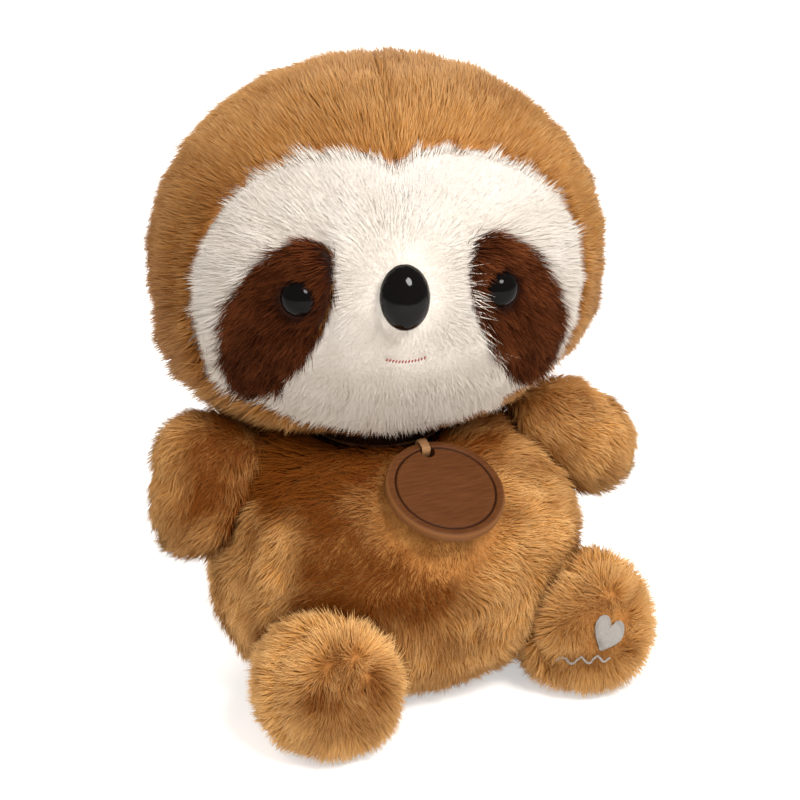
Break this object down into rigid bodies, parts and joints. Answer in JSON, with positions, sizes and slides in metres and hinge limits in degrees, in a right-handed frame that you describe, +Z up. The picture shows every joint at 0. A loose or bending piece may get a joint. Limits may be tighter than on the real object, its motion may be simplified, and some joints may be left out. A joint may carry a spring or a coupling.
{
  "type": "plush sloth",
  "caption": "Sitting plush sloth with a wide brown hood, white face, dark eye patches, stubby limbs that turn at their seams, and a round tag on a loop at its chest.",
  "frame": {"origin": "on the floor, on the flat under the middle of the body", "axes": "+Z up, front of the toy towards -Y, its left side towards +X"},
  "size_m": [0.1582, 0.1381, 0.1991],
  "materials": {
    "black_plastic": "glossy black",
    "brown_plush": "short caramel plush",
    "dark_plush": "dark brown plush",
    "fibre_fill": "loose white fibre",
    "pink_thread": "embroidery thread",
    "seam_thread": "sewing thread",
    "silver_thread": "silver embroidery thread",
    "strap_cord": "light brown strap",
    "tag_wood": "dark stained, satin",
    "washer_plastic": "plain",
    "white_plush": "white plush"
  },
  "bodies": {
    "torso": {"torso_front": "brown_plush", "torso_back": "brown_plush", "body_stuffing": "fibre_fill"},
    "neck": {"neck_stuffing": "fibre_fill", "neck_seam": "seam_thread"},
    "head": {"eye_left": "black_plastic", "eye_patch_left": "dark_plush", "eye_patch_right": "dark_plush", "eye_right": "black_plastic", "eye_washer_left": "washer_plastic", "eye_washer_right": "washer_plastic", "face_panel": "white_plush", "head_stuffing": "fibre_fill", "hood_left": "brown_plush", "hood_right": "brown_plush", "mouth_stitch": "pink_thread", "nose": "black_plastic", "nose_washer": "washer_plastic"},
    "arm_left": {"arm_left": "brown_plush", "arm_stuffing_left": "fibre_fill"},
    "arm_right": {"arm_right": "brown_plush", "arm_stuffing_right": "fibre_fill"},
    "leg_left": {"leg_left": "brown_plush", "leg_stuffing_left": "fibre_fill", "sole_left": "brown_plush", "heart_patch": "silver_thread", "sole_stitching": "silver_thread"},
    "leg_right": {"leg_right": "brown_plush", "leg_stuffing_right": "fibre_fill", "sole_right": "brown_plush"},
    "tag": {"tag_disc": "tag_wood", "tag_loop": "strap_cord"}
  },
  "joints": [
    {"name": "head_turn", "type": "hinge", "parent": "torso", "child": "neck", "pos_m": [0, 0.012, 0.0799], "axis": [0, 0, 1], "range_deg": [-12, 42], "stiffness_Nm_per_rad": 0.3},
    {"name": "head_nod", "type": "hinge", "parent": "neck", "child": "head", "pos_m": [0, 0.012, 0.0799], "axis": [0.9532, -0.3024, 0], "range_deg": [-12, 6], "stiffness_Nm_per_rad": 0.4},
    {"name": "arm_left_raise", "type": "hinge", "parent": "torso", "child": "arm_left", "pos_m": [0.05146, -0.00216, 0.07507], "axis": [-0.1219, -0.9925, 0], "range_deg": [-10, 30], "stiffness_Nm_per_rad": 0.08},
    {"name": "arm_right_raise", "type": "hinge", "parent": "torso", "child": "arm_right", "pos_m": [-0.05046, 0.01035, 0.07507], "axis": [0.1219, 0.9925, 0], "range_deg": [-10, 30], "stiffness_Nm_per_rad": 0.08},
    {"name": "leg_left_raise", "type": "hinge", "parent": "torso", "child": "leg_left", "pos_m": [0.0468, -0.03379, 0.0202], "axis": [-0.989, -0.1478, 0], "range_deg": [0, 25], "stiffness_Nm_per_rad": 0.08},
    {"name": "leg_right_raise", "type": "hinge", "parent": "torso", "child": "leg_right", "pos_m": [-0.04367, -0.03774, 0.0202], "axis": [-0.9981, 0.061, 0], "range_deg": [0, 25], "stiffness_Nm_per_rad": 0.08},
    {"name": "tag_swing", "type": "hinge", "parent": "torso", "child": "tag", "pos_m": [0, -0.02432, 0.07949], "axis": [0, -0.4857, 0.8741], "range_deg": [-20, 20]}
  ]
}
